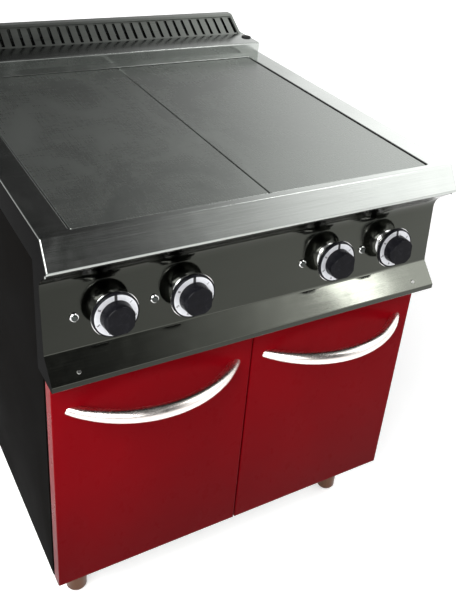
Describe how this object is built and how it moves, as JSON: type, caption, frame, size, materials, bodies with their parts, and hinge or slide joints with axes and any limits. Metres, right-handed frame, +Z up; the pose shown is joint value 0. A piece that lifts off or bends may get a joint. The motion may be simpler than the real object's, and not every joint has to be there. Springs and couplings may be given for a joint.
{
  "type": "commercial electric range",
  "caption": "Freestanding electric range with solid hotplates, a front control panel with turning knobs, a louvred rear flue and a cupboard with hinged doors.",
  "frame": {"origin": "on the floor under the middle of the overall box", "axes": "+X to the right seen from the front, +Y to the back, +Z up"},
  "size_m": [0.8, 0.9355, 0.988],
  "materials": {
    "worktop_steel": "stainless sheet, fine satin brushing",
    "panel_steel": "stainless sheet, bright polish",
    "flue_steel": "stainless sheet, satin",
    "hotplate_steel": "ground matte plate, heat darkened",
    "door_red": "gloss baked enamel",
    "body_dark": "satin dark coat",
    "inner_sheet": "plain mill finish",
    "chrome": "mirror polish",
    "knob_black": "gloss moulded",
    "dial_silver": "satin, printed marks",
    "lens_dark": "dark tinted, unlit",
    "handle_steel": "brushed along the bow",
    "foot_steel": "satin",
    "hinge_steel": "zinc plated",
    "element_sheath": "oxidised sheath",
    "black_plastic": "moulded",
    "insulation": "pressed ceramic fibre board"
  },
  "bodies": {
    "root": {"worktop": "worktop_steel", "left_hotplate": "hotplate_steel", "right_hotplate": "hotplate_steel", "heating_element_front_left": "element_sheath", "heating_element_rear_left": "element_sheath", "heating_element_front_right": "element_sheath", "heating_element_rear_right": "element_sheath", "left_element_tray": "inner_sheet", "right_element_tray": "inner_sheet", "insulation_boards": "insulation", "flue_plinth": "worktop_steel", "plinth_plug": "black_plastic", "flue_riser": "flue_steel", "flue_grille": "flue_steel", "left_side_panel": "body_dark", "right_side_panel": "body_dark", "rear_panel": "inner_sheet", "base_panel": "inner_sheet", "front_rail": "inner_sheet", "cupboard_ceiling": "inner_sheet", "cupboard_back": "inner_sheet", "control_panel": "panel_steel", "lamp_bezels": "chrome", "pilot_lenses": "lens_dark", "door_hinges": "hinge_steel", "door_magnets": "black_plastic", "foot_sockets": "foot_steel", "cable_gland": "black_plastic", "terminal_block": "black_plastic", "panel_screws": "hinge_steel", "knob_collar_1": "chrome", "regulator_1": "black_plastic", "knob_collar_2": "chrome", "regulator_2": "black_plastic", "knob_collar_3": "chrome", "regulator_3": "black_plastic", "knob_collar_4": "chrome", "regulator_4": "black_plastic"},
    "left_door": {"left_door_skin": "door_red", "left_door_liner": "inner_sheet", "left_door_handle": "handle_steel"},
    "right_door": {"right_door_skin": "door_red", "right_door_liner": "inner_sheet", "right_door_handle": "handle_steel"},
    "knob_1": {"knob_1": "knob_black", "dial_ring_1": "dial_silver", "knob_shaft_1": "hinge_steel"},
    "knob_2": {"knob_2": "knob_black", "dial_ring_2": "dial_silver", "knob_shaft_2": "hinge_steel"},
    "knob_3": {"knob_3": "knob_black", "dial_ring_3": "dial_silver", "knob_shaft_3": "hinge_steel"},
    "knob_4": {"knob_4": "knob_black", "dial_ring_4": "dial_silver", "knob_shaft_4": "hinge_steel"},
    "foot_1": {"foot_1": "foot_steel"},
    "foot_2": {"foot_2": "foot_steel"},
    "foot_3": {"foot_3": "foot_steel"},
    "foot_4": {"foot_4": "foot_steel"}
  },
  "joints": [
    {"name": "left_door_hinge", "type": "hinge", "parent": "root", "child": "left_door", "pos_m": [-0.38, -0.37225, 0.39], "axis": [0, 0, -1], "range_deg": [0, 105]},
    {"name": "right_door_hinge", "type": "hinge", "parent": "root", "child": "right_door", "pos_m": [0.38, -0.37225, 0.39], "axis": [0, 0, 1], "range_deg": [0, 105]},
    {"name": "knob_1_turn", "type": "hinge", "parent": "root", "child": "knob_1", "pos_m": [-0.286, -0.39019, 0.763], "axis": [0, 0.9977, -0.0685], "range_deg": [0, 300]},
    {"name": "knob_2_turn", "type": "hinge", "parent": "root", "child": "knob_2", "pos_m": [-0.148, -0.39019, 0.763], "axis": [0, 0.9977, -0.0685], "range_deg": [0, 300]},
    {"name": "knob_3_turn", "type": "hinge", "parent": "root", "child": "knob_3", "pos_m": [0.148, -0.39019, 0.763], "axis": [0, 0.9977, -0.0685], "range_deg": [0, 300]},
    {"name": "knob_4_turn", "type": "hinge", "parent": "root", "child": "knob_4", "pos_m": [0.286, -0.39019, 0.763], "axis": [0, 0.9977, -0.0685], "range_deg": [0, 300]},
    {"name": "foot_1_height", "type": "slide", "parent": "root", "child": "foot_1", "axis": [0, 0, -1], "range_m": [0, 0.03]},
    {"name": "foot_2_height", "type": "slide", "parent": "root", "child": "foot_2", "axis": [0, 0, -1], "range_m": [0, 0.03]},
    {"name": "foot_3_height", "type": "slide", "parent": "root", "child": "foot_3", "axis": [0, 0, -1], "range_m": [0, 0.03]},
    {"name": "foot_4_height", "type": "slide", "parent": "root", "child": "foot_4", "axis": [0, 0, -1], "range_m": [0, 0.03]}
  ]
}
